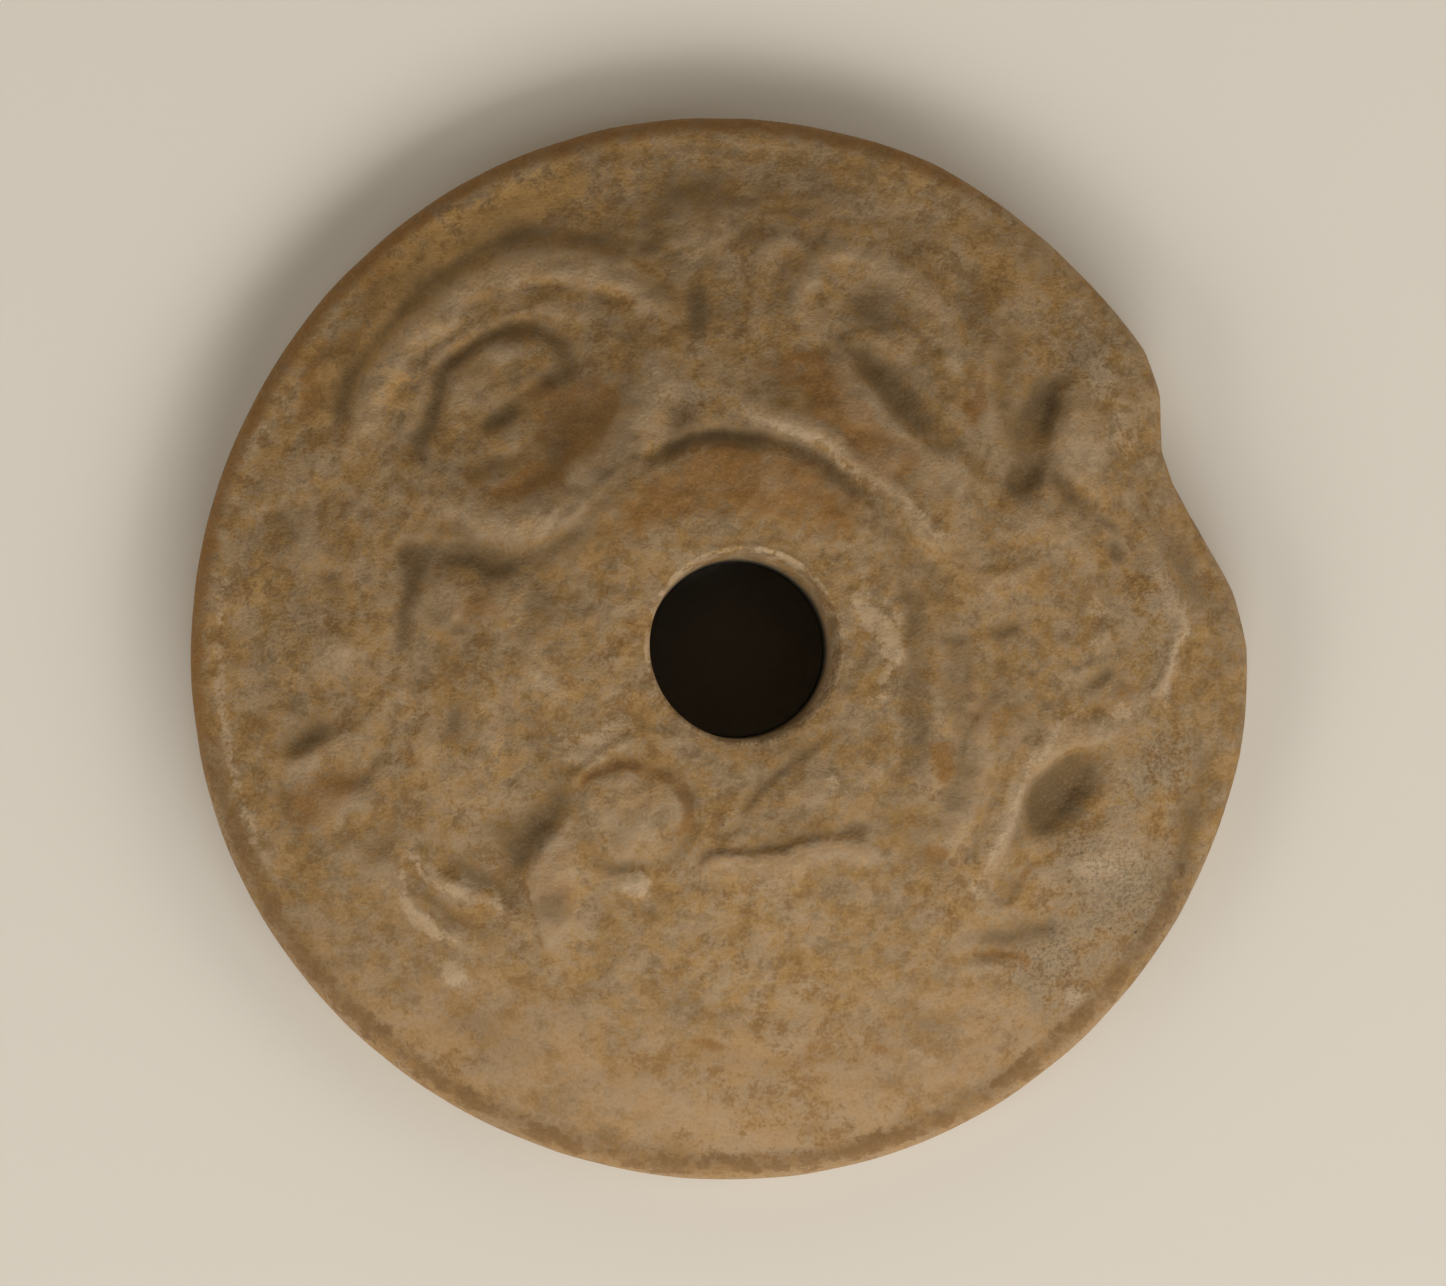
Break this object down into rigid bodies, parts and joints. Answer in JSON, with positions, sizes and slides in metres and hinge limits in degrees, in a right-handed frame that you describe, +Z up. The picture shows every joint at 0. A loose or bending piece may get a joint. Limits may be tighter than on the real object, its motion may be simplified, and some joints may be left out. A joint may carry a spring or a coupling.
{
  "type": "clay spindle whorl",
  "caption": "Round fired-clay whorl with a central spindle hole, raised collar, carved low dome and plain flange, a weight that keeps a hand spindle turning.",
  "frame": {"origin": "middle of the flat underside", "axes": "+Z up the spindle hole, from the flat underside to the carved face; +X towards the broken bite in the rim; +Y towards the two scrolls"},
  "size_m": [0.0593, 0.0596, 0.0119],
  "materials": {
    "clay": "matt, worn, low-fired, with soil in the hollows"
  },
  "bodies": {
    "root": {"whorl": "clay"}
  },
  "joints": []
}
